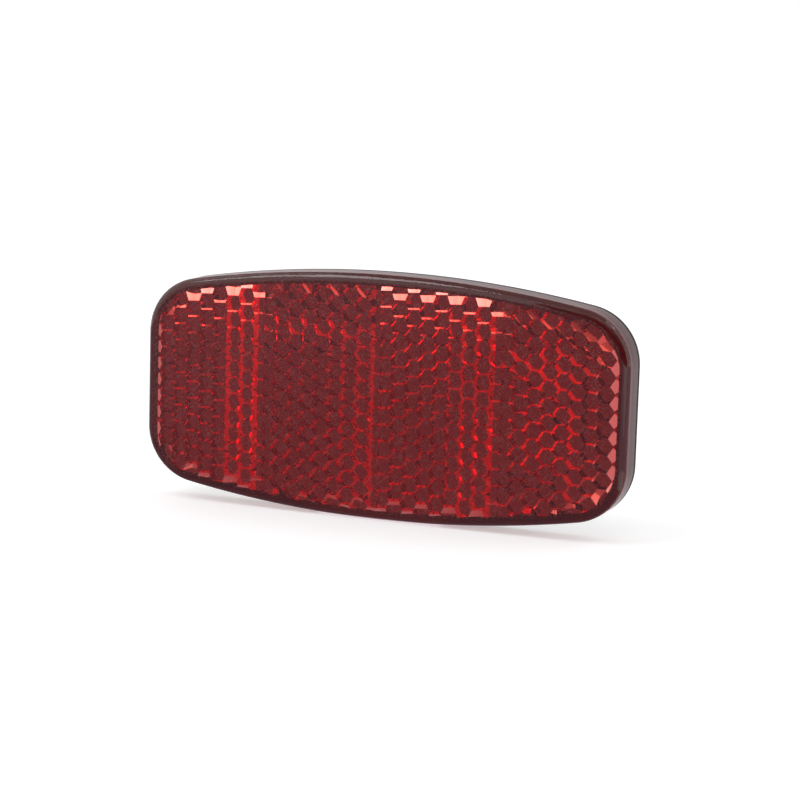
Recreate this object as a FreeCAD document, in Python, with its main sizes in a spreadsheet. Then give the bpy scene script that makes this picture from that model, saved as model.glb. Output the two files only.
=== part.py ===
# Rack reflector for a bicycle: a red corner-cube lens on a black housing with two mounting studs.
# Millimetres. +Z is up and +X runs along the width; the face looks along -Y and the studs point along +Y.
# The origin lies midway between the studs, on the plane where the bosses of the housing seat on the rack.
import FreeCAD
import Part
import Sketcher
import math
import os

# Driving dimensions: alias, value and what it measures
SIZES = (
    ("width", 96.2, "between the two straight ends"),
    ("height", 46.4, "at the middle, over the bulging long edges"),
    ("bulge_radius", 222.5, "of the long upper and lower edges"),
    ("corner_radius", 10.7, "of the outline's four corners"),
    ("lens_depth", 5.95, "front face to the weld plane"),
    ("front_round", 1.5, "round of the lens's front edge"),
    ("rim_width", 1.9, "plain rim and skirt wall round the prisms"),
    ("face_thickness", 1.4, "front face to the valleys between the prisms"),
    ("prism_flats", 3.175, "one hexagonal prism, across its flats"),
    ("prism_zones", 4, "upright zones, each the mirror image of its neighbour"),
    ("prisms_left", 0.45, "middle of the prism zones, left of the outline's middle"),
    ("prisms_down", 0.36, "middle row of prisms, below the outline's middle"),
    ("floor_thickness", 1.7, "housing floor, weld plane to back face"),
    ("back_chamfer", 0.6, "chamfer of the housing's back edge"),
    ("seam_chamfer", 0.3, "chamfer that leaves a fine groove along the weld"),
    ("lip_height", 1.0, "locating lip inside the lens skirt"),
    ("lip_thickness", 1.2, "wall of the locating lip"),
    ("lip_clearance", 0.15, "between the lip and the skirt"),
    ("stud_inset", 8.1, "stud axis to the straight end beside it"),
    ("stud_diameter", 5.0, "M5 thread, outer diameter"),
    ("stud_reach", 14.0, "thread beyond the boss"),
    ("neck_diameter", 6.0, "plain neck of the stud inside the boss"),
    ("stud_chamfer", 0.7, "at the stud's free end"),
    ("stud_clearance", 0.1, "round the stud's neck and head in the housing"),
    ("head_flats", 8.0, "hexagon head, across its flats"),
    ("head_height", 3.5, "hexagon head"),
    ("head_recess", 2.2, "how far the head sinks below the housing floor"),
    ("boss_diameter", 13.0, "boss round each stud"),
    ("boss_height", 2.5, "boss behind the back face"),
    ("boss_chamfer", 0.5, "at the rim of each boss"),
)

doc = FreeCAD.newDocument("rack_reflector")


def make_sheet():
    """Write the driving dimensions to the document's spreadsheet, one aliased row each."""
    sheet = doc.addObject("Spreadsheet::Sheet", "sizes")
    for row, (alias, value, meaning) in enumerate(SIZES, start=1):
        sheet.set(f"A{row}", alias)
        sheet.set(f"B{row}", str(value))
        sheet.set(f"C{row}", meaning)
        sheet.setAlias(f"B{row}", alias)
    doc.recompute()
    return sheet


sizes = make_sheet()

# Planes of the construction, as distances in front of the boss plane
BACK_FACE = "sizes.boss_height"
WELD_PLANE = "sizes.boss_height + sizes.floor_thickness"
HEAD_SEAT = f"{WELD_PLANE} - sizes.head_recess"

# The studs stand on the -X and the +X side of the middle, this far from it
SIDES = (-1, 1)
STUD_AXIS = "(sizes.width / 2 - sizes.stud_inset)"


def make_body(label):
    body = doc.addObject("PartDesign::Body", label)
    body.Label = label
    return body


def origin_plane(body, role):
    return next(plane for plane in body.Origin.OriginFeatures if plane.Role == role)


def front_sketch(body, name, level):
    """Add a sketch that faces the viewer (X to the right, Z up), `level` in front of the boss plane."""
    sketch = body.newObject("Sketcher::SketchObject", name)
    sketch.AttachmentSupport = [(origin_plane(body, "XZ_Plane"), "")]
    sketch.MapMode = "FlatFace"
    sketch.setExpression("AttachmentOffset.Base.z", level)
    return sketch


def bind(sketch, constraint, expression):
    """Add a dimension to the sketch and drive it from the sheet."""
    index = sketch.addConstraint(constraint)
    sketch.setExpression(f"Constraints[{index}]", expression)


def draw_outline(sketch, inset="0"):
    """Draw the bulging outline, moved in by `inset`: two end lines, two long arcs, four corner arcs."""
    shift = sizes.evalExpression(inset)
    half_width = sizes.width / 2 - shift
    bulge = sizes.bulge_radius - shift
    corner = sizes.corner_radius - shift
    bulge_drop = sizes.bulge_radius - sizes.height / 2
    corner_x = half_width - corner
    turn = math.acos(corner_x / (bulge - corner))
    corner_z = (bulge - corner) * math.sin(turn) - bulge_drop

    def arc(x, z, radius, start, end):
        circle = Part.Circle(FreeCAD.Vector(x, z, 0), FreeCAD.Vector(0, 0, 1), radius)
        return sketch.addGeometry(Part.ArcOfCircle(circle, start, end))

    def line(x, z_start, z_end):
        ends = FreeCAD.Vector(x, z_start, 0), FreeCAD.Vector(x, z_end, 0)
        return sketch.addGeometry(Part.LineSegment(*ends))

    half_turn = math.pi
    right = line(half_width, -corner_z, corner_z)
    upper_right = arc(corner_x, corner_z, corner, 0, turn)
    upper = arc(0, -bulge_drop, bulge, turn, half_turn - turn)
    upper_left = arc(-corner_x, corner_z, corner, half_turn - turn, half_turn)
    left = line(-half_width, corner_z, -corner_z)
    lower_left = arc(-corner_x, -corner_z, corner, half_turn, half_turn + turn)
    lower = arc(0, bulge_drop, bulge, half_turn + turn, 2 * half_turn - turn)
    lower_right = arc(corner_x, -corner_z, corner, 2 * half_turn - turn, 2 * half_turn)

    loop = (right, upper_right, upper, upper_left, left, lower_left, lower, lower_right)
    start, end, centre = 1, 2, 3
    origin, z_axis = -1, -2
    for piece, following in zip(loop, loop[1:] + loop[:1]):
        sketch.addConstraint(Sketcher.Constraint("Tangent", piece, end, following, start))
    for other in (upper_left, lower_left, lower_right):
        sketch.addConstraint(Sketcher.Constraint("Equal", upper_right, other))
    sketch.addConstraint(Sketcher.Constraint("Equal", upper, lower))
    sketch.addConstraint(Sketcher.Constraint("Vertical", right))
    sketch.addConstraint(Sketcher.Constraint("Symmetric", right, end, left, start, z_axis))
    sketch.addConstraint(Sketcher.Constraint("Symmetric", upper, centre, lower, centre, origin, start))
    bind(sketch, Sketcher.Constraint("DistanceX", left, start, right, end, 2 * half_width),
         f"sizes.width - 2 * ({inset})")
    bind(sketch, Sketcher.Constraint("Radius", upper, bulge), f"sizes.bulge_radius - ({inset})")
    bind(sketch, Sketcher.Constraint("Radius", upper_right, corner), f"sizes.corner_radius - ({inset})")
    bind(sketch, Sketcher.Constraint("DistanceY", upper, centre, lower, centre, 2 * bulge_drop),
         "2 * sizes.bulge_radius - sizes.height")


def draw_stud_circle(sketch, side, diameter):
    """Draw a circle on the axis of the stud on the +X side (side 1) or the -X side (side -1)."""
    centre = FreeCAD.Vector(side * sizes.evalExpression(STUD_AXIS), 0, 0)
    circle = sketch.addGeometry(Part.Circle(centre, FreeCAD.Vector(0, 0, 1), sizes.stud_diameter / 2))
    x_axis, root, middle = -1, 1, 3
    sketch.addConstraint(Sketcher.Constraint("PointOnObject", circle, middle, x_axis))
    bind(sketch, Sketcher.Constraint("DistanceX", x_axis, root, circle, middle, centre.x),
         f"{side} * {STUD_AXIS}")
    bind(sketch, Sketcher.Constraint("Diameter", circle, sizes.stud_diameter), diameter)


def extrude(kind, body, name, sketch, length, reverse=False):
    """Pad or pocket a sketch by a length driven from the sheet."""
    feature = body.newObject(f"PartDesign::{kind}", name)
    feature.Profile = sketch
    feature.setExpression("Length", length)
    feature.Reversed = reverse
    doc.recompute()
    return feature


def add_hexagon(kind, body, name, side, flats, length):
    """Add or cut a hexagonal prism on a stud's axis, from the head's seat towards the face.

    Two of its flats stand upright, so that no corner points at the end wall of the housing.
    """
    prism = body.newObject(f"PartDesign::{kind}Prism", name)
    prism.AttachmentSupport = [(origin_plane(body, "XZ_Plane"), "")]
    prism.MapMode = "FlatFace"
    prism.Polygon = 6
    prism.AttachmentOffset.Rotation = FreeCAD.Rotation(FreeCAD.Vector(0, 0, 1), 30)
    prism.setExpression("AttachmentOffset.Base.x", f"{side} * {STUD_AXIS}")
    prism.setExpression("AttachmentOffset.Base.z", HEAD_SEAT)
    prism.setExpression("Circumradius", f"({flats}) / 2 / cos(30 deg)")
    prism.setExpression("Height", length)
    doc.recompute()
    return prism


def end_face(feature, direction):
    """Name the flat face of a feature that lies furthest along +Y (direction 1) or -Y (direction -1)."""
    faces = feature.Shape.Faces
    furthest = max(range(len(faces)), key=lambda index: direction * faces[index].CenterOfMass.y)
    return f"Face{furthest + 1}"


def is_circle_at(edge, radius, level):
    """Tell whether an edge is a whole circle of this radius in the plane Y = level."""
    near = 1e-6
    if not edge.isClosed() or not isinstance(edge.Curve, Part.Circle):
        return False
    return abs(edge.Curve.Radius - radius) < near and abs(edge.Curve.Center.y - level) < near


def dress(kind, body, name, base, edges, size_property, size):
    """Fillet or chamfer the named edges, or all edges of the named faces, of the feature before it."""
    feature = body.newObject(f"PartDesign::{kind}", name)
    feature.Base = (base, edges)
    feature.setExpression(size_property, size)
    doc.recompute()
    return feature


def make_lens_blank():
    """The lens before its prisms are formed: a block with a rounded front edge."""
    body = make_body("lens_blank")
    outline = front_sketch(body, "lens_outline", WELD_PLANE)
    draw_outline(outline)
    block = extrude("Pad", body, "lens_block", outline, "sizes.lens_depth")
    dress("Fillet", body, "lens_front_round", block, [end_face(block, -1)], "Radius", "sizes.front_round")
    return body


def make_core_block():
    """A block of the mould core that fills the lens inside its skirt, reaching halfway into the face."""
    body = make_body("core_block")
    outline = front_sketch(body, "core_outline", WELD_PLANE)
    draw_outline(outline, "sizes.rim_width")
    extrude("Pad", body, "core_pad", outline, "sizes.lens_depth - sizes.face_thickness / 2")
    return body


def prism_facets(apex, side, valley_parity, cut_corner):
    """Return the three square facets of a corner-cube prism whose hexagon has corners at 0, 60 ... degrees.

    The facets meet at right angles in the apex, the prism's rearmost point. Alternate corners of the
    hexagon lie one and two steps nearer the face; the nearer ones, of `valley_parity`, are the valleys.
    A prism at the edge of its zone ends halfway to its `cut_corner`.
    """
    step = side / math.sqrt(2)

    def corner(index):
        index = index % 6
        steps = 2 if index % 2 == valley_parity else 1
        share = 0.5 if index == cut_corner else 1.0
        angle = math.radians(60 * index)
        reach = FreeCAD.Vector(side * math.cos(angle), -steps * step, side * math.sin(angle))
        return apex + reach * share

    facets = []
    for valley in range(valley_parity, 6, 2):
        points = [apex, corner(valley - 1), corner(valley), corner(valley + 1), apex]
        facets.append(Part.Face(Part.makePolygon(points)))
    return facets


def make_prism_surface():
    """The rear surface of the prisms: columns of hexagons in upright zones, mirrored from zone to zone.

    A zone starts and ends on the line through its outer hexagons' corners, where the heights of two
    mirrored zones agree, so the surface runs on without a step.
    """
    flats = sizes.prism_flats
    side = flats / math.sqrt(3)
    column_pitch = 1.5 * side
    zones = int(sizes.prism_zones)
    field_width = sizes.width - 2 * sizes.rim_width + 2 * abs(sizes.prisms_left)
    field_height = sizes.height - 2 * sizes.rim_width + 2 * abs(sizes.prisms_down)
    columns = math.ceil((field_width / zones - side) / column_pitch) + 1
    rows = math.ceil(field_height / flats / 2) + 1
    zone_width = (columns - 1) * column_pitch + side
    front = -(sizes.boss_height + sizes.floor_thickness + sizes.lens_depth)
    apex_level = front + sizes.face_thickness + math.sqrt(2) * side
    left_corner, right_corner = 3, 0

    facets = []
    for zone in range(zones):
        first_x = (zone - zones / 2) * zone_width + side / 2 - sizes.prisms_left
        valley_parity = zone % 2
        for column in range(columns):
            cut_corner = {0: left_corner, columns - 1: right_corner}.get(column)
            from_mirror = columns - 1 - column if zone % 2 else column
            shift = flats / 2 if from_mirror % 2 else 0.0
            for row in range(-rows, rows + 1):
                apex_z = row * flats + shift - sizes.prisms_down
                apex = FreeCAD.Vector(first_x + column * column_pitch, apex_level, apex_z)
                facets.extend(prism_facets(apex, side, valley_parity, cut_corner))
    surface = Part.Compound(facets)
    surface.sewShape()
    feature = doc.addObject("Part::Feature", "prism_surface")
    feature.Shape = surface
    return feature


def make_mould_core(block, surface):
    """The part of the core block behind the prism surface, which leaves the prisms in the lens."""
    pieces, _ = block.Shape.generalFuse([surface.Shape])
    core = doc.addObject("Part::Feature", "mould_core")
    core.Shape = max(pieces.Solids, key=lambda solid: solid.CenterOfMass.y)
    return core


def make_lens():
    blank = make_lens_blank()
    core = make_mould_core(make_core_block(), make_prism_surface())
    lens = doc.addObject("Part::Cut", "reflector_lens")
    lens.Label = "reflector_lens"
    lens.Base = blank
    lens.Tool = core
    return lens


def make_housing():
    """The black back: a floor of the lens's outline, a lip inside its skirt, and a boss for each stud."""
    body = make_body("back_housing")
    outline = front_sketch(body, "floor_outline", BACK_FACE)
    draw_outline(outline)
    floor = extrude("Pad", body, "floor", outline, "sizes.floor_thickness")
    back_edge = dress("Chamfer", body, "back_edge", floor, [end_face(floor, 1)], "Size", "sizes.back_chamfer")
    dress("Chamfer", body, "seam_groove", back_edge, [end_face(back_edge, -1)], "Size", "sizes.seam_chamfer")

    lip_inset = "sizes.rim_width + sizes.lip_clearance"
    lip = front_sketch(body, "lip_outline", WELD_PLANE)
    draw_outline(lip, lip_inset)
    draw_outline(lip, f"{lip_inset} + sizes.lip_thickness")
    extrude("Pad", body, "locating_lip", lip, "sizes.lip_height")

    boss_circles = front_sketch(body, "boss_circles", BACK_FACE)
    hole_circles = front_sketch(body, "hole_circles", WELD_PLANE)
    for side in SIDES:
        draw_stud_circle(boss_circles, side, "sizes.boss_diameter")
        draw_stud_circle(hole_circles, side, "sizes.neck_diameter + 2 * sizes.stud_clearance")
    bosses = extrude("Pad", body, "bosses", boss_circles, "sizes.boss_height", reverse=True)
    boss_rims = [f"Edge{index}" for index, edge in enumerate(bosses.Shape.Edges, start=1)
                 if is_circle_at(edge, sizes.boss_diameter / 2, 0.0)]
    dress("Chamfer", body, "boss_chamfers", bosses, boss_rims, "Size", "sizes.boss_chamfer")
    extrude("Pocket", body, "stud_holes", hole_circles, WELD_PLANE)
    for side in SIDES:
        add_hexagon("Subtractive", body, "head_recess", side,
                    "sizes.head_flats + 2 * sizes.stud_clearance", "sizes.head_recess + sizes.lip_height")
    return body


def make_stud(side):
    """One stud: its head sits in the housing, its neck fills the boss and its thread stands out behind."""
    body = make_body("stud")
    add_hexagon("Additive", body, "stud_head", side, "sizes.head_flats", "sizes.head_height")
    neck_circle = front_sketch(body, "neck_circle", HEAD_SEAT)
    draw_stud_circle(neck_circle, side, "sizes.neck_diameter")
    extrude("Pad", body, "neck", neck_circle, HEAD_SEAT, reverse=True)
    thread_circle = front_sketch(body, "thread_circle", "0 mm")
    draw_stud_circle(thread_circle, side, "sizes.stud_diameter")
    thread = extrude("Pad", body, "thread", thread_circle, "sizes.stud_reach", reverse=True)
    dress("Chamfer", body, "stud_end", thread, [end_face(thread, 1)], "Size", "sizes.stud_chamfer")
    return body


def make_studs():
    """Two hexagon-head studs, one either side of the middle, as one group of solids."""
    studs = doc.addObject("Part::Compound", "mounting_studs")
    studs.Label = "mounting_studs"
    studs.Links = [make_stud(side) for side in SIDES]
    return studs


pieces = [make_lens(), make_housing(), make_studs()]
doc.recompute()

for item in doc.Objects:
    if "Invalid" in item.State or "Error" in item.State:
        raise RuntimeError(f"{item.Label} failed: {item.State}")
for piece in pieces:
    if piece.Shape.isNull() or not piece.Shape.isValid():
        raise RuntimeError(f"{piece.Label} has no valid shape")

os.makedirs("parts", exist_ok=True)
for piece in pieces:
    piece.Shape.exportStep(f"parts/{piece.Label}.step")
    print(piece.Label, len(piece.Shape.Solids), "solid(s),", round(piece.Shape.Volume), "mm3,",
          len(piece.Shape.Faces), "faces")
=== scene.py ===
# %% [markdown]
# # A rack reflector for a bicycle
# The reflector has three kinds of piece: a red lens whose rear is covered with small corner-cube prisms, a
# black housing welded behind it, and two steel studs that bolt it to the rack.
# The lens lives by its optics. Each prism sends light back to where it came from, so the camera sees its
# own dark surroundings in the middle of every hexagon and the studio in the slits between them. A painted
# pattern can't do that from every side, so the prisms are modelled and the light is left to the renderer.

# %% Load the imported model
import math
import bpy
import bmesh
from mathutils import Matrix, Vector


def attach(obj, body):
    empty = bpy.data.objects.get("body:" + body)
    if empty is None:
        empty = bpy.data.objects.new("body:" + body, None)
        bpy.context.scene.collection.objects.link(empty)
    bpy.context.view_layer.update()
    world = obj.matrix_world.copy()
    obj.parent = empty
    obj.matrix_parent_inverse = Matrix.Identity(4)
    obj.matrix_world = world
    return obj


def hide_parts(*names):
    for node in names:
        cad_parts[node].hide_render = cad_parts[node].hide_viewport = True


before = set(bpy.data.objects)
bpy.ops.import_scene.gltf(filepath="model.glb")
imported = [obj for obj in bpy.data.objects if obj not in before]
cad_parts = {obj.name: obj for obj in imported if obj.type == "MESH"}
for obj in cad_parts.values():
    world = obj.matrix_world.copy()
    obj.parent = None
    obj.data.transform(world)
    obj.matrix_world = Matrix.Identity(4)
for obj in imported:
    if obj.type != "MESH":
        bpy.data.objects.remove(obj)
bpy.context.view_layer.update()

# %% [markdown]
# ## Sizes
# All pieces are drawn in millimetres, because that is how the part is dimensioned, and are scaled to metres
# when they become objects. The numbers repeat the part's own sizes. The face looks along -Y, the studs
# point along +Y. The prisms sit a little to the left of the middle and below it, as they do in the
# photograph.

# %% Sizes in millimetres
WIDTH, HEIGHT = 96.2, 46.4
BULGE_RADIUS, CORNER_RADIUS = 222.5, 10.7
FRONT, WELD, BACK = -10.15, -4.2, -2.5
FRONT_ROUND, RIM, FACE_THICKNESS = 1.5, 1.9, 1.4
PRISM_FLATS, ZONE_COLUMNS = 3.175, 9
PRISMS_LEFT, PRISMS_DOWN = 0.45, 0.36
STUD_X, STUD_REACH = 40.0, 14.0
METRES = 0.001
NEAR, CUT_NEAR = 1e-4, 1e-5

print("body depth", BACK - FRONT, "mm, with bosses", -FRONT, "mm")


# %% [markdown]
# ## Small helpers
# One function turns an sRGB hex colour, as a colour picker shows it, into the linear values that shaders
# use. One adds a node with its settings and links. Others start a material and turn a finished bmesh into a
# piece that rides on the frame. The last few cut a mesh by a plane, bevel its edges and check that it is
# closed.

# %% Colours and nodes
def linear(hex_colour):
    """Turn an sRGB hex value such as "c81923" into linear RGBA."""
    channels = [int(hex_colour[start:start + 2], 16) / 255 for start in (0, 2, 4)]
    return [c / 12.92 if c <= 0.04045 else ((c + 0.055) / 1.055) ** 2.4 for c in channels] + [1.0]


def add_node(tree, kind, settings=None, *values, **named):
    """Add a node. Its sockets, in order or by name, take plain values or other nodes' outputs."""
    node = tree.nodes.new(kind)
    for name, value in (settings or {}).items():
        setattr(node, name, value)
    sockets = list(zip(node.inputs, values))
    sockets += [(node.inputs[name.replace("_", " ")], value) for name, value in named.items()]
    for socket, value in sockets:
        if isinstance(value, bpy.types.NodeSocket):
            tree.links.new(value, socket)
        else:
            socket.default_value = value
    return node


def seen_directly(tree):
    """1 for what the camera sees, also by way of metal or glass, and 0 for light that brightens a surface."""
    path = add_node(tree, "ShaderNodeLightPath").outputs
    mirrored = add_node(tree, "ShaderNodeMath", {"operation": "MAXIMUM"},
                        path["Is Glossy Ray"], path["Is Transmission Ray"])
    seen = add_node(tree, "ShaderNodeMath", {"operation": "MAXIMUM"},
                    path["Is Camera Ray"], mirrored.outputs["Value"])
    return seen.outputs["Value"]


# %% Materials and pieces
def new_material(name):
    """Start a material that holds nothing but its output node."""
    material = bpy.data.materials.new(name)
    material.use_nodes = True
    tree = material.node_tree
    tree.nodes.clear()
    return material, tree, tree.nodes.new("ShaderNodeOutputMaterial")


def new_object(name, bm, material):
    """Scale a bmesh from millimetres to metres and link it into the scene."""
    bmesh.ops.scale(bm, vec=(METRES, METRES, METRES), verts=bm.verts)
    mesh = bpy.data.meshes.new(name)
    bm.to_mesh(mesh)
    bm.free()
    mesh.materials.append(material)
    item = bpy.data.objects.new(name, mesh)
    bpy.context.scene.collection.objects.link(item)
    return item


def new_piece(name, bm, material, node):
    """Make a piece that stands for a CAD node and rides with the body."""
    piece = new_object(name, bm, material)
    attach(piece, "root")
    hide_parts(node)
    print(name, len(piece.data.polygons), "faces")
    return piece


# %% Geometry
def whole(bm):
    """List everything in a bmesh."""
    return bm.verts[:] + bm.edges[:] + bm.faces[:]


def cut_away(bm, point, outward):
    """Cut everything away that lies on the outward side of a plane, and return the cut's edges."""
    cut = bmesh.ops.bisect_plane(bm, geom=whole(bm), dist=CUT_NEAR, plane_co=point, plane_no=outward,
                                 clear_outer=True)["geom_cut"]
    return [edge for edge in cut if isinstance(edge, bmesh.types.BMEdge)]


def bevel(bm, edges, size, steps):
    """Bevel edges. Two steps make a soft chamfer and many make a round."""
    bmesh.ops.bevel(bm, geom=edges, offset=size, offset_type="OFFSET", segments=steps, profile=0.5,
                    affect="EDGES", material=-1, clamp_overlap=False)


def close(name, bm):
    """Turn the normals outward, and print whether the mesh is closed and what it holds."""
    bmesh.ops.recalc_face_normals(bm, faces=bm.faces)
    closed = all(edge.is_manifold for edge in bm.edges)
    print(name, "closed:", closed, "volume", round(bm.calc_volume()), "mm3")


# %% [markdown]
# ## The outline
# Lens and housing share one outline: straight ends, long edges that bulge, and round corners. A spline
# would only come near it. One vertex that is drawn up the end and then spun round the corner's centre and
# the bulge's centre follows it exactly, for a quarter of the way; two mirrors make the rest.

# %% Outline by spinning a vertex
CORNER_STEPS, BULGE_STEPS = 20, 32
TOWARDS_Z = (0, -1, 0)


def draw_outline(bm, inset, level):
    """Draw the outline, moved in by `inset`, in the plane Y = level, and return its edges."""
    half_width = WIDTH / 2 - inset
    bulge, corner = BULGE_RADIUS - inset, CORNER_RADIUS - inset
    bulge_centre = Vector((0, level, HEIGHT / 2 - BULGE_RADIUS))
    turn = math.acos((half_width - corner) / (bulge - corner))
    corner_z = bulge_centre.z + (bulge - corner) * math.sin(turn)
    corner_centre = Vector((half_width - corner, level, corner_z))

    others = set(bm.edges)
    start = bm.verts.new((half_width, level, 0))
    drawn = bmesh.ops.extrude_vert_indiv(bm, verts=[start])
    bmesh.ops.translate(bm, verts=drawn["verts"], vec=(0, 0, corner_z))
    arc = bmesh.ops.spin(bm, geom=drawn["verts"], cent=corner_centre, axis=TOWARDS_Z,
                         angle=turn, steps=CORNER_STEPS)
    bmesh.ops.spin(bm, geom=arc["geom_last"], cent=bulge_centre, axis=TOWARDS_Z,
                   angle=math.pi / 2 - turn, steps=BULGE_STEPS)
    for axis in "XZ":
        edges = [edge for edge in bm.edges if edge not in others]
        verts = list(dict.fromkeys(vert for edge in edges for vert in edge.verts))
        bmesh.ops.mirror(bm, geom=verts + edges, axis=axis, merge_dist=NEAR)
    return [edge for edge in bm.edges if edge not in others]


def draw_walls(bm, edges, level):
    """Draw edges out along Y to a new level, and return the new rim's edges."""
    drawn = bmesh.ops.extrude_edge_only(bm, edges=edges)["geom"]
    for vert in drawn:
        if isinstance(vert, bmesh.types.BMVert):
            vert.co.y = level
    return [edge for edge in drawn if isinstance(edge, bmesh.types.BMEdge) and edge.is_boundary]


# %% [markdown]
# ## The prism field
# A corner cube is what its name says: the corner of a cube, seen along its diagonal. So a cube is stood on
# its corner, three faces stay, and copies of it are set in staggered columns.

# %% One zone of corner cubes
side = PRISM_FLATS / math.sqrt(3)
column_pitch = 1.5 * side
zone_width = (ZONE_COLUMNS - 1) * column_pitch + side
rows = math.ceil(HEIGHT / PRISM_FLATS / 2)
apex = FRONT + FACE_THICKNESS + math.sqrt(2) * side

lens = bmesh.new()
bmesh.ops.create_cube(lens, size=PRISM_FLATS / math.sqrt(2))
bmesh.ops.rotate(lens, verts=lens.verts, matrix=Matrix.Rotation(math.radians(45), 3, "X"))
bmesh.ops.rotate(lens, verts=lens.verts, matrix=Matrix.Rotation(math.atan(math.sqrt(0.5)), 3, "Z"))
lens.normal_update()
bmesh.ops.delete(lens, geom=[face for face in lens.faces if face.normal.y < 0], context="FACES")
apex_now = max(vert.co.y for vert in lens.verts)
bmesh.ops.translate(lens, verts=lens.verts, vec=(side / 2, apex - apex_now, 0))

first_cube = whole(lens)
for column in range(ZONE_COLUMNS):
    for row in range(-rows, rows + 1):
        if column == 0 and row == 0:
            continue
        place = (column * column_pitch, 0, (row + column % 2 / 2) * PRISM_FLATS)
        copy = bmesh.ops.duplicate(lens, geom=first_cube)["geom"]
        bmesh.ops.translate(lens, vec=place, verts=[v for v in copy if isinstance(v, bmesh.types.BMVert)])
bmesh.ops.remove_doubles(lens, verts=lens.verts, dist=NEAR)
print("one zone:", len(lens.faces), "facets over", round(zone_width, 2), "mm")

# %% [markdown]
# The zone is cut clean at both ends and mirrored over its edges, as on the mould, where each zone is the
# mirror image of its neighbour. The edges lie where the two mirrored surfaces are equally deep, so no step
# shows. Then the field is cut along the outline, one plane for each of the outline's edges, and moved to
# its place.

# %% Four zones, cut to the field's outline
cut_away(lens, (0, 0, 0), (-1, 0, 0))
cut_away(lens, (zone_width, 0, 0), (1, 0, 0))
for mirror_x in (zone_width, 0):
    bmesh.ops.mirror(lens, geom=whole(lens), axis="X", merge_dist=-1,
                     matrix=Matrix.Translation((-mirror_x, 0, 0)))
bmesh.ops.remove_doubles(lens, verts=lens.verts, dist=NEAR)

field = bmesh.new()
for edge in draw_outline(field, RIM, FRONT):
    middle = (edge.verts[0].co + edge.verts[1].co) / 2
    along = edge.verts[1].co - edge.verts[0].co
    outward = Vector((along.z, 0, -along.x))
    outward = outward if outward.dot(middle - Vector((0, FRONT, 0))) > 0 else -outward
    cut_away(lens, middle, outward)
field.free()
bmesh.ops.remove_doubles(lens, verts=lens.verts, dist=NEAR)
bmesh.ops.translate(lens, verts=lens.verts, vec=(-PRISMS_LEFT, 0, -PRISMS_DOWN))
print("four zones, trimmed:", len(lens.faces), "facets")

# %% [markdown]
# ## The lens body
# Round the prisms stands a plain rim, whose front edge is rounded. The field's cut edge is drawn back to
# the weld plane as the skirt's inner wall; the outline is drawn forward, closed by the flat face and
# beveled. A ring of triangles joins the two at the weld plane, because their corners don't pair up. The
# mesh is closed, as glass has to be: the renderer counts on an inside and an outside. The skirt reaches a
# hair past the weld plane, so that its end doesn't coincide with the housing's face. No face is shaded
# smooth, because a smoothed normal bends rays that pass through the walls to places where the real wall
# sends none; the round has many steps instead.

# %% Rim, face and skirt
WELD_DEPTH, ROUND_STEPS = 0.02, 24

draw_walls(lens, [edge for edge in lens.edges if edge.is_boundary], WELD + WELD_DEPTH)
outer_rim = draw_outline(lens, 0, WELD + WELD_DEPTH)
front_rim = draw_walls(lens, outer_rim, FRONT)
bmesh.ops.edgeloop_fill(lens, edges=front_rim)
bmesh.ops.recalc_face_normals(lens, faces=lens.faces)
bevel(lens, front_rim, FRONT_ROUND, ROUND_STEPS)
bmesh.ops.triangle_fill(lens, edges=[edge for edge in lens.edges if edge.is_boundary], use_beauty=True)
close("lens", lens)


# %% [markdown]
# ## Red polycarbonate
# The lens is moulded from clear red polycarbonate, whose high refractive index keeps the light inside the
# prisms at steep views too. The red sits in the plastic, not on it: thin places look salmon and thick ones
# deep red. So the surface is clear and a volume absorbs green and blue, at a strength per metre.
# Handling has left fine scratches on the flat face, which veil it a little. They are the lines where noise,
# stretched twelve times along the scratch, crosses its middle value, in two directions. The round edge has
# none.

# %% Scratches
STRETCH, LINE_SHARE = 12, 0.01


def hairlines(tree, coordinates, angle, spacing):
    """Scratches at one angle: thin lines where stretched noise crosses its middle value."""
    turned = add_node(tree, "ShaderNodeMapping", {"vector_type": "TEXTURE"}, Vector=coordinates,
                      Rotation=(0, math.radians(angle), 0), Scale=(STRETCH * spacing, spacing, spacing))
    noise = add_node(tree, "ShaderNodeTexNoise", Vector=turned.outputs["Vector"], Scale=1.0, Detail=2.0)
    lines = add_node(tree, "ShaderNodeMath", {"operation": "COMPARE"}, noise.outputs["Fac"], 0.5, LINE_SHARE)
    return lines.outputs["Value"]


# %% Lens material
FACE_SKIN = 0.002

red_polycarbonate, tree, output = new_material("moulded_red_polycarbonate")
coordinates = add_node(tree, "ShaderNodeTexCoord").outputs["Object"]
scratches = add_node(tree, "ShaderNodeMath", {"operation": "MAXIMUM"},
                     hairlines(tree, coordinates, 55, 0.4 * METRES),
                     hairlines(tree, coordinates, -38, 0.5 * METRES))
depth = add_node(tree, "ShaderNodeSeparateXYZ", Vector=coordinates).outputs["Y"]
on_face = add_node(tree, "ShaderNodeMath", {"operation": "LESS_THAN"}, depth, (FRONT + FACE_SKIN) * METRES)
worn = add_node(tree, "ShaderNodeMath", {"operation": "MULTIPLY"},
                scratches.outputs["Value"], on_face.outputs["Value"]).outputs["Value"]
roughness = add_node(tree, "ShaderNodeMapRange", Value=worn, To_Min=0.0, To_Max=0.3)
clarity = add_node(tree, "ShaderNodeMapRange", Value=worn, To_Min=1.0, To_Max=0.98)
clear = add_node(tree, "ShaderNodeBsdfPrincipled", Base_Color=linear("ffffff"), IOR=1.585,
                 Transmission_Weight=clarity.outputs["Result"], Roughness=roughness.outputs["Result"])
red = add_node(tree, "ShaderNodeVolumeAbsorption", Color=linear("fe6100"), Density=340)
tree.links.new(clear.outputs["BSDF"], output.inputs["Surface"])
tree.links.new(red.outputs["Volume"], output.inputs["Volume"])
new_piece("prism_lens", lens, red_polycarbonate, "reflector_lens")


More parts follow.
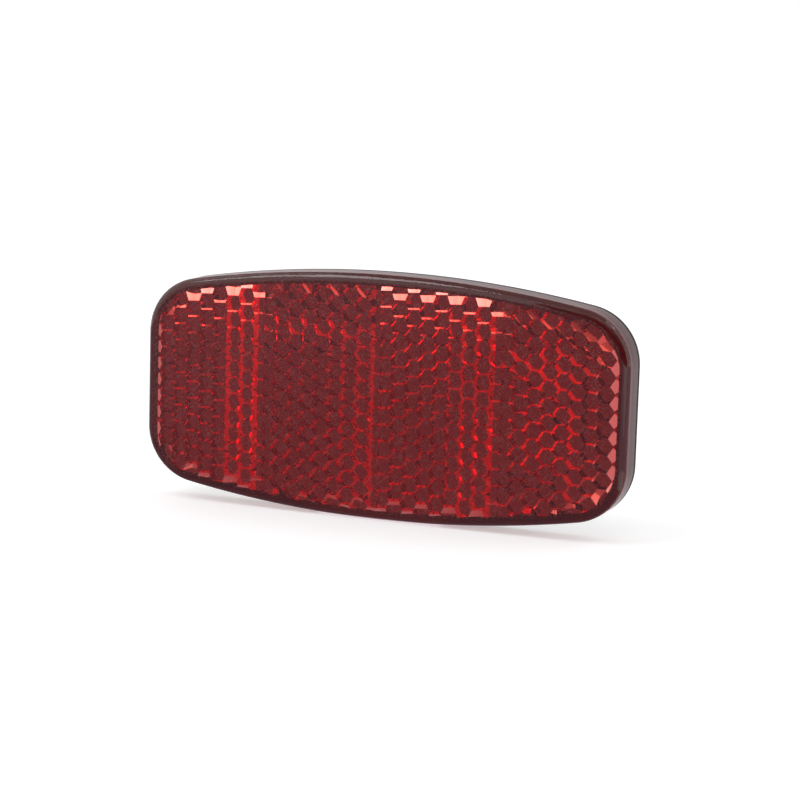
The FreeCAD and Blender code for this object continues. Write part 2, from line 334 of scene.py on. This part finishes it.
# %% [markdown]
# ## The housing
# The back is a moulded plate of the same outline, with a chamfer at its back edge and a very fine one where
# it meets the lens. A lip stands inside the lens's skirt, round a floor that is raised a little. All of
# this is one skin: the outline is drawn back, and its front edge is bridged to the lip, which runs up, over
# and down to the floor.

# %% Housing plate and lip
BACK_CHAMFER, SEAM_CHAMFER, CHAMFER_STEPS = 0.6, 0.05, 2
LIP_HEIGHT, LIP_THICKNESS, LIP_CLEARANCE, FLOOR_PAD = 1.0, 1.2, 0.15, 0.1

housing = bmesh.new()
seam_rim = draw_outline(housing, 0, WELD)
back_rim = draw_walls(housing, seam_rim, BACK)
bmesh.ops.edgeloop_fill(housing, edges=back_rim)

plate = set(housing.verts)
lip_foot = draw_outline(housing, RIM + LIP_CLEARANCE, WELD)
lip_outer = draw_walls(housing, lip_foot, WELD - LIP_HEIGHT)
lip_inner = draw_outline(housing, RIM + LIP_CLEARANCE + LIP_THICKNESS, WELD - LIP_HEIGHT)
bmesh.ops.bridge_loops(housing, edges=lip_outer + lip_inner)
bmesh.ops.edgeloop_fill(housing, edges=draw_walls(housing, lip_inner, WELD - FLOOR_PAD))
bmesh.ops.translate(housing, verts=[vert for vert in housing.verts if vert not in plate],
                    vec=(-PRISMS_LEFT, 0, -PRISMS_DOWN))
bmesh.ops.bridge_loops(housing, edges=seam_rim + lip_foot)
bmesh.ops.recalc_face_normals(housing, faces=housing.faces)
bevel(housing, back_rim, BACK_CHAMFER, CHAMFER_STEPS)
bevel(housing, seam_rim, SEAM_CHAMFER, CHAMFER_STEPS)
close("housing plate", housing)

# %% [markdown]
# A boss carries each stud. It is a closed ring of its own, sunk into the plate, with a hole for the stud's
# neck.

# %% Bosses
BOSS_RADIUS, BOSS_CHAMFER, BOSS_SINK, NECK_HOLE_RADIUS = 6.5, 0.5, 0.2, 3.1
CIRCLE_STEPS = 64
FACE_BACK = Matrix.Rotation(math.radians(-90), 4, "X")


def draw_circle(bm, radius, x, level):
    """Draw a circle about a stud's axis in the plane Y = level, and return its edges."""
    ring = bmesh.ops.create_circle(bm, segments=CIRCLE_STEPS, radius=radius,
                                   matrix=Matrix.Translation((x, level, 0)) @ FACE_BACK)
    return list(dict.fromkeys(edge for vert in ring["verts"] for edge in vert.link_edges))


for x in (-STUD_X, STUD_X):
    boss_foot = draw_circle(housing, BOSS_RADIUS, x, BACK - BOSS_SINK)
    boss_rim = draw_walls(housing, boss_foot, 0)
    bmesh.ops.edgeloop_fill(housing, edges=boss_foot)
    hole_rim = draw_circle(housing, NECK_HOLE_RADIUS, x, 0)
    bmesh.ops.bridge_loops(housing, edges=boss_rim + hole_rim)
    bmesh.ops.edgeloop_fill(housing, edges=draw_walls(housing, hole_rim, BACK))
    bmesh.ops.recalc_face_normals(housing, faces=housing.faces)
    bevel(housing, boss_rim, BOSS_CHAMFER, CHAMFER_STEPS)
close("housing with bosses", housing)

# %% [markdown]
# ## Black ABS
# The housing is moulded in black ABS from a spark-eroded mould, whose grain of about half a millimetre
# breaks up the reflections. Noise drives a small bump, and a broader noise varies the gloss as handled
# plastic does. Inside, seen through the lens, the paler colour is painted light: the floor is painted a pale
# grey that brightens the gaps between the prisms and the rim, and the weld face is painted a darker grey for
# the same reason. A ramp over the depth gives each its colour.

# %% Housing material
# The floor and weld-face greys are painted light for the cavity. The plastic itself is black.
PAINTED_LIGHT_FLOOR_FROM, PAINTED_LIGHT_WELD_FROM, OUTSIDE_FROM = 0.375, 0.625, 0.825

black_abs, tree, output = new_material("spark_textured_black_abs")
coordinates = add_node(tree, "ShaderNodeTexCoord").outputs["Object"]
grain = add_node(tree, "ShaderNodeTexNoise", Vector=coordinates, Scale=1 / (0.5 * METRES), Detail=3.0)
patches = add_node(tree, "ShaderNodeTexNoise", Vector=coordinates, Scale=1 / (9 * METRES), Detail=2.0)
gloss = add_node(tree, "ShaderNodeMapRange", Value=patches.outputs["Fac"], To_Min=0.5, To_Max=0.68)
bump = add_node(tree, "ShaderNodeBump", Height=grain.outputs["Fac"], Strength=0.7, Distance=0.05 * METRES)
depth = add_node(tree, "ShaderNodeSeparateXYZ", Vector=coordinates).outputs["Y"]
layer = add_node(tree, "ShaderNodeMapRange", Value=depth, From_Min=(WELD - 3 * FLOOR_PAD) * METRES,
                 From_Max=(WELD + FLOOR_PAD) * METRES)
colour = add_node(tree, "ShaderNodeValToRGB", Fac=layer.outputs["Result"])
colour.color_ramp.interpolation = "CONSTANT"
for element in colour.color_ramp.elements:
    element.color = linear("2b292a")
# Painted light: the pale grey floor and the grey weld face stand in for light that reaches the cavity.
for start, shade in ((PAINTED_LIGHT_FLOOR_FROM, "989898"), (PAINTED_LIGHT_WELD_FROM, "7c7c7c"), (OUTSIDE_FROM, "2b292a")):
    colour.color_ramp.elements.new(start).color = linear(shade)
plastic = add_node(tree, "ShaderNodeBsdfPrincipled", Base_Color=colour.outputs["Color"], IOR=1.53,
                   Specular_IOR_Level=0.25, Roughness=gloss.outputs["Result"], Normal=bump.outputs["Normal"])
tree.links.new(plastic.outputs["BSDF"], output.inputs["Surface"])
new_piece("housing_shell", housing, black_abs, "back_housing")

# %% [markdown]
# ## The studs
# Each stud has a hexagon head inside the housing, a plain neck in the boss and an M5 thread behind. A
# thread is a profile that is spun and moved on at once: one pitch of it, spun with a step along the axis,
# meets its own first turn, so the doubles merge to one surface. Cutting off both ends and filling the cuts
# closes it, and the tip's chamfer pulls in what stands too far out.

# %% Thread
NECK_RADIUS, THREAD_RADIUS, THREAD_PITCH, THREAD_DEPTH = 3.0, 2.5, 0.8, 0.49
TIP_CHAMFER, THREAD_START, TURN_STEPS, TURN_NEAR = 0.7, -0.3, 28, 0.01
ROOT_RADIUS = THREAD_RADIUS - THREAD_DEPTH
PROFILE = ((ROOT_RADIUS, 0.25), (THREAD_RADIUS, 0.56), (THREAD_RADIUS, 0.69), (ROOT_RADIUS, 1.0))

studs = bmesh.new()
first_turn = -1.5 * THREAD_PITCH
turns = math.ceil(STUD_REACH / THREAD_PITCH) + 2
corner = studs.verts.new((ROOT_RADIUS, first_turn, 0))
for radius, share in PROFILE:
    corner = bmesh.ops.extrude_vert_indiv(studs, verts=[corner])["verts"][0]
    corner.co = (radius, first_turn + share * THREAD_PITCH, 0)
bmesh.ops.spin(studs, geom=whole(studs), cent=(0, 0, 0), axis=(0, 1, 0), angle=2 * math.pi * turns,
               dvec=(0, THREAD_PITCH / TURN_STEPS, 0), steps=TURN_STEPS * turns)
bmesh.ops.remove_doubles(studs, verts=studs.verts, dist=TURN_NEAR)
for level, outward in ((THREAD_START, (0, -1, 0)), (STUD_REACH, (0, 1, 0))):
    bmesh.ops.edgeloop_fill(studs, edges=cut_away(studs, (0, level, 0), outward))
for vert in studs.verts:
    past_chamfer = vert.co.y - (STUD_REACH - TIP_CHAMFER)
    allowed, radius = THREAD_RADIUS - past_chamfer, math.hypot(vert.co.x, vert.co.z)
    if past_chamfer > 0 and radius > allowed:
        vert.co.x *= allowed / radius
        vert.co.z *= allowed / radius
close("thread", studs)

# %% Head, neck and the second stud
HEAD_FLATS, HEAD_HEIGHT, HEAD_SEAT, NECK_STEPS = 8.0, 3.5, -2.0, 48

for steps, radius, start, end in ((6, HEAD_FLATS / math.sqrt(3), HEAD_SEAT - HEAD_HEIGHT, HEAD_SEAT),
                                  (NECK_STEPS, NECK_RADIUS, HEAD_SEAT, 0)):
    middle = Matrix.Translation((0, (start + end) / 2, 0))
    bmesh.ops.create_cone(studs, cap_ends=True, segments=steps, radius1=radius, radius2=radius,
                          depth=end - start, matrix=middle @ FACE_BACK)
first_stud = studs.verts[:]
second = bmesh.ops.duplicate(studs, geom=whole(studs))["geom"]
bmesh.ops.translate(studs, verts=first_stud, vec=(-STUD_X, 0, 0))
bmesh.ops.translate(studs, verts=[v for v in second if isinstance(v, bmesh.types.BMVert)], vec=(STUD_X, 0, 0))
close("studs", studs)

# %% [markdown]
# ## Zinc-plated steel
# Bright zinc is a pale bluish metal. Passivation leaves faint warm and cool patches a few millimetres wide,
# and the plating keeps the drawn wire's fine streaks along the stud.

# %% Stud material
COLOUR_A, COLOUR_B, MIXED_COLOUR = 6, 7, 2

zinc, tree, output = new_material("bright_zinc_plated_steel")
coordinates = add_node(tree, "ShaderNodeTexCoord").outputs["Object"]
patches = add_node(tree, "ShaderNodeTexNoise", Vector=coordinates, Scale=1 / (3 * METRES), Detail=3.0)
tint = add_node(tree, "ShaderNodeMix", {"data_type": "RGBA"}, patches.outputs["Fac"])
tint.inputs[COLOUR_A].default_value = linear("b9bdc4")
tint.inputs[COLOUR_B].default_value = linear("c9c6bd")
streaks = add_node(tree, "ShaderNodeMapping", Vector=coordinates, Scale=(1, 0.05, 1)).outputs["Vector"]
fine = add_node(tree, "ShaderNodeTexNoise", Vector=streaks, Scale=1 / (0.2 * METRES), Detail=2.0)
gloss = add_node(tree, "ShaderNodeMapRange", Value=fine.outputs["Fac"], To_Min=0.2, To_Max=0.36)
metal = add_node(tree, "ShaderNodeBsdfPrincipled", Base_Color=tint.outputs[MIXED_COLOUR], Metallic=1.0,
                 Roughness=gloss.outputs["Result"])
tree.links.new(metal.outputs["BSDF"], output.inputs["Surface"])
new_piece("threaded_studs", studs, zinc, "mounting_studs")

# %% [markdown]
# ## The studio
# The reflector stands on a pale floor in white surroundings. Floor and surroundings look whiter than they
# shine: a Light Path node lifts them to white for what is seen, directly or through the lens, and leaves
# the light that falls on the object at a plain level.

# %% Floor
FLOOR_LEVEL, FLOOR_SIZE = -HEIGHT / 2 - 0.05, 6000

pale_floor, tree, output = new_material("matt_white_paper")
lift = add_node(tree, "ShaderNodeMapRange", Value=seen_directly(tree), To_Min=0.0, To_Max=0.38)
paper = add_node(tree, "ShaderNodeBsdfPrincipled", Base_Color=linear("f4f4f4"), Roughness=0.9,
                 Emission_Color=linear("ffffff"), Emission_Strength=lift.outputs["Result"])
tree.links.new(paper.outputs["BSDF"], output.inputs["Surface"])

floor = bmesh.new()
bmesh.ops.create_grid(floor, x_segments=1, y_segments=1, size=FLOOR_SIZE,
                      matrix=Matrix.Translation((0, 0, FLOOR_LEVEL)))
new_object("paper_floor", floor, pale_floor)
print("floor at", round(FLOOR_LEVEL, 2), "mm")

# %% White surroundings
world = bpy.data.worlds.new("white_surroundings")
bpy.context.scene.world = world
world.use_nodes = True
tree = world.node_tree
tree.nodes.clear()
level = add_node(tree, "ShaderNodeMapRange", Value=seen_directly(tree), To_Min=0.7, To_Max=1.0)
white = add_node(tree, "ShaderNodeBackground", Color=linear("ffffff"), Strength=level.outputs["Result"])
world_output = tree.nodes.new("ShaderNodeOutputWorld")
tree.links.new(white.outputs["Background"], world_output.inputs["Surface"])


# %% [markdown]
# Two softboxes hang above. The prisms along the top edge catch the left one, which makes the bright cells
# there. The smaller one hangs on the right, a little behind the face.

# %% Softboxes
def add_softbox(name, azimuth, elevation, distance, size, radiance):
    """A square area light that looks at the middle of the face; radiance 1 is as bright as white paper."""
    azimuth, elevation = math.radians(azimuth), math.radians(elevation)
    toward = Vector((math.cos(elevation) * math.sin(azimuth), -math.cos(elevation) * math.cos(azimuth),
                     math.sin(elevation)))
    light = bpy.data.lights.new(name, "AREA")
    light.size = size
    light.energy = radiance * math.pi * size ** 2
    lamp = bpy.data.objects.new(name, light)
    facing = toward.to_track_quat("Z", "Y").to_matrix().to_4x4()
    lamp.matrix_world = Matrix.Translation(toward * distance) @ facing
    lamp.visible_camera = False
    bpy.context.scene.collection.objects.link(lamp)
    print(name, round(light.energy, 3), "W")


add_softbox("upper_left_softbox", -45, 55, 0.6, 0.25, 3.0)
add_softbox("upper_right_softbox", 112, 52, 0.6, 0.16, 2.0)


# %% [markdown]
# What makes the prisms readable is what is dark: a photographer hangs dark cards round the camera, so that
# the lens, which looks back at the camera, doesn't fill with white. Grey cards above, behind and on the
# table give the slits their different reds. The cards are seen in reflections and through the lens only.
# They don't brighten matt surfaces and throw no shadow.

# %% How a card is made
CARD_DISTANCE, CARD_STEPS, CARD_LIFT = 640, 32, 0.4
GRADE_START, GRADE_END = -110 * METRES, -40 * METRES


def hang_card(name, bm, colour, left, right):
    """A card that only the lens and other glossy surfaces see. Its brightness runs from left to right."""
    material, tree, output = new_material(name)
    place = add_node(tree, "ShaderNodeTexCoord").outputs["Object"]
    across = add_node(tree, "ShaderNodeSeparateXYZ", Vector=place).outputs["X"]
    level = add_node(tree, "ShaderNodeMapRange", Value=across, From_Min=GRADE_START, From_Max=GRADE_END,
                     To_Min=left, To_Max=right)
    glow = add_node(tree, "ShaderNodeEmission", Color=linear(colour), Strength=level.outputs["Result"])
    tree.links.new(glow.outputs["Emission"], output.inputs["Surface"])
    card = new_object(name, bm, material)
    card.visible_camera = False
    card.visible_diffuse = False
    card.visible_shadow = False


def bent_card(azimuth, sweep, low, high):
    """A card bent round the object, from one azimuth over a sweep, between two elevations, all in degrees."""
    card = bmesh.new()
    x, y = math.sin(math.radians(azimuth)), -math.cos(math.radians(azimuth))
    rises = [math.tan(math.radians(elevation)) for elevation in (low, high)]
    card.edges.new([card.verts.new(CARD_DISTANCE * Vector((x, y, rise))) for rise in rises])
    bmesh.ops.spin(card, geom=whole(card), cent=(0, 0, 0), axis=(0, 0, 1),
                   angle=math.radians(sweep), steps=CARD_STEPS)
    return card


def table_cards(*places):
    """Cards just above the floor. Each place is the middle's x and y, and half the size along x and y."""
    cards = bmesh.new()
    for x, y, half_x, half_y in places:
        middle = Matrix.Translation((x, y, FLOOR_LEVEL + CARD_LIFT))
        bmesh.ops.create_grid(cards, x_segments=1, y_segments=1, size=1,
                              matrix=middle @ Matrix.Diagonal((half_x, half_y, 1, 1)))
    return cards


# %% Cards round the camera and overhead
hang_card("dark_card_round_camera", bent_card(-12, 82, -2, 24), "ffd8ee", 0.118, 0.118)
hang_card("dim_card_above_camera", bent_card(-12, 82, 24, 35), "ffecf4", 0.25, 0.25)
hang_card("grey_card_above_camera", bent_card(-12, 82, 35, 47), "fff6f8", 0.4, 0.4)
hang_card("grey_card_above_back", bent_card(122, 108, 25, 66), "fff6f8", 0.36, 0.6)

OVERHEAD_LEVEL, OVERHEAD_SIZE = 1.4 * CARD_DISTANCE, 420
overhead_card = bmesh.new()
bmesh.ops.create_grid(overhead_card, x_segments=1, y_segments=1, size=OVERHEAD_SIZE,
                      matrix=Matrix.Translation((0, 0, OVERHEAD_LEVEL)))
hang_card("grey_card_overhead", overhead_card, "fff6f8", 0.55, 0.55)

# %% Cards on the table and behind
hang_card("grey_card_on_table", table_cards((-180, -305, 240, 300)), "ffdcee", 0.54, 0.385)
hang_card("pale_card_on_table", table_cards((100, -230, 40, 170), (245, 0, 140, 60)), "f4eeff", 0.7, 0.7)

UPRIGHT = Matrix.Rotation(math.radians(90), 4, "X")
back_card = table_cards((100, 340, 400, 280), (-97, 30, 202, 30))
bmesh.ops.create_grid(back_card, x_segments=1, y_segments=1, size=1,
                      matrix=Matrix.Translation((0, 620, 150)) @ UPRIGHT @ Matrix.Diagonal((700, 180, 1, 1)))
hang_card("grey_card_behind", back_card, "fff6f8", 0.6, 0.6)

# %% [markdown]
# ## The camera
# Its place was found by fitting the outline and the rows of prisms to the photograph: a little above the
# reflector and 20 degrees to its right, half a metre away.

# %% Camera
place = Vector((174.75, FRONT - 445.24, 80.20)) * METRES
ahead = Vector((-0.3526, 0.9210, -0.1655)).normalized()
right = Vector((0.9317, 0.3620, 0.0295))
right = (right - right.dot(ahead) * ahead).normalized()
up = right.cross(ahead)
camera_data = bpy.data.cameras.new("camera")
camera_data.lens = 117.05
camera_data.sensor_width = 36
camera_data.clip_start = 0.01
camera = bpy.data.objects.new("camera", camera_data)
camera.matrix_world = Matrix.Translation(place) @ Matrix((right, up, -ahead)).transposed().to_4x4()
bpy.context.scene.collection.objects.link(camera)
bpy.context.scene.camera = camera
print("camera", round(place.length, 3), "m from the origin")

# %% [markdown]
# Light that is caught in a corner cube turns three times, and some of it crosses from prism to prism, so
# the paths are allowed more bounces than usual.

# %% Light paths and view
scene = bpy.context.scene
scene.view_settings.view_transform = "Standard"
scene.cycles.max_bounces = 24
scene.cycles.glossy_bounces = 16
scene.cycles.transmission_bounces = 16
